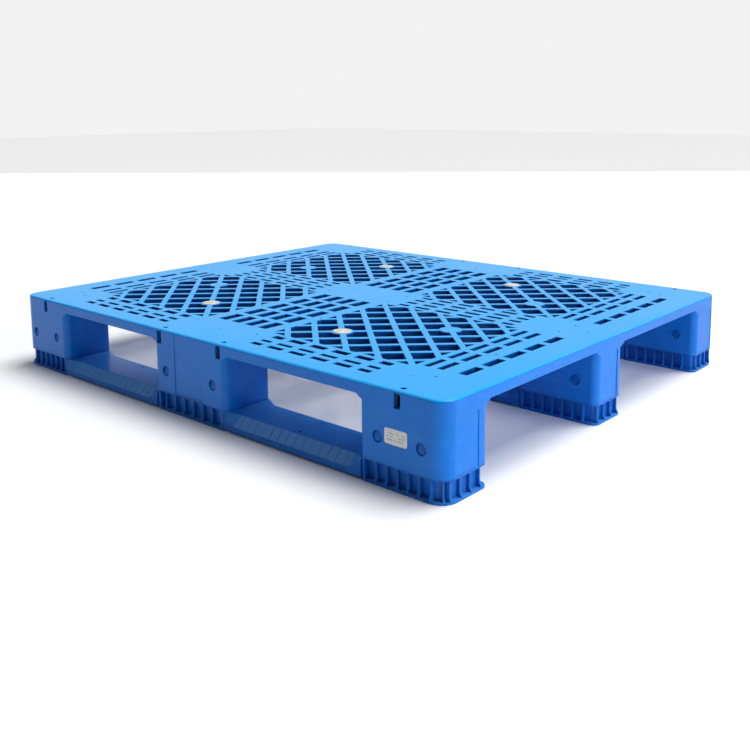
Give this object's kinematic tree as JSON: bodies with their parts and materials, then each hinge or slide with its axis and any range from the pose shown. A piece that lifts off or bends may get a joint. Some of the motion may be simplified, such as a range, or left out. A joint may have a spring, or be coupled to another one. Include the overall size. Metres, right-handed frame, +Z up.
{
  "type": "plastic pallet",
  "caption": "Four-way plastic pallet with an open grid deck, hollow legs, clip-in runners, steel stiffening tubes and rubber grip plugs.",
  "frame": {"origin": "on the floor, under the middle of the deck", "axes": "+X along the runners, the longer side; +Y across the runners; +Z up"},
  "size_m": [1.2, 1, 0.161],
  "materials": {
    "deck_plastic": "satin moulded polyethylene",
    "runner_plastic": "satin moulded polyethylene",
    "tube_steel": "mill steel",
    "plug_rubber": "beige rubber",
    "label_film": "matt film"
  },
  "bodies": {
    "root": {"top_deck": "deck_plastic", "leg_front_left": "deck_plastic", "leg_front_middle": "deck_plastic", "leg_front_right": "deck_plastic", "leg_middle_left": "deck_plastic", "leg_middle_middle": "deck_plastic", "leg_middle_right": "deck_plastic", "leg_back_left": "deck_plastic", "leg_back_middle": "deck_plastic", "leg_back_right": "deck_plastic", "runner_front": "runner_plastic", "runner_middle": "runner_plastic", "runner_back": "runner_plastic", "stiffening_tube_1": "tube_steel", "stiffening_tube_2": "tube_steel", "stiffening_tube_3": "tube_steel", "stiffening_tube_4": "tube_steel", "grip_plug_1": "plug_rubber", "grip_plug_2": "plug_rubber", "grip_plug_3": "plug_rubber", "grip_plug_4": "plug_rubber", "info_label": "label_film"}
  },
  "joints": []
}
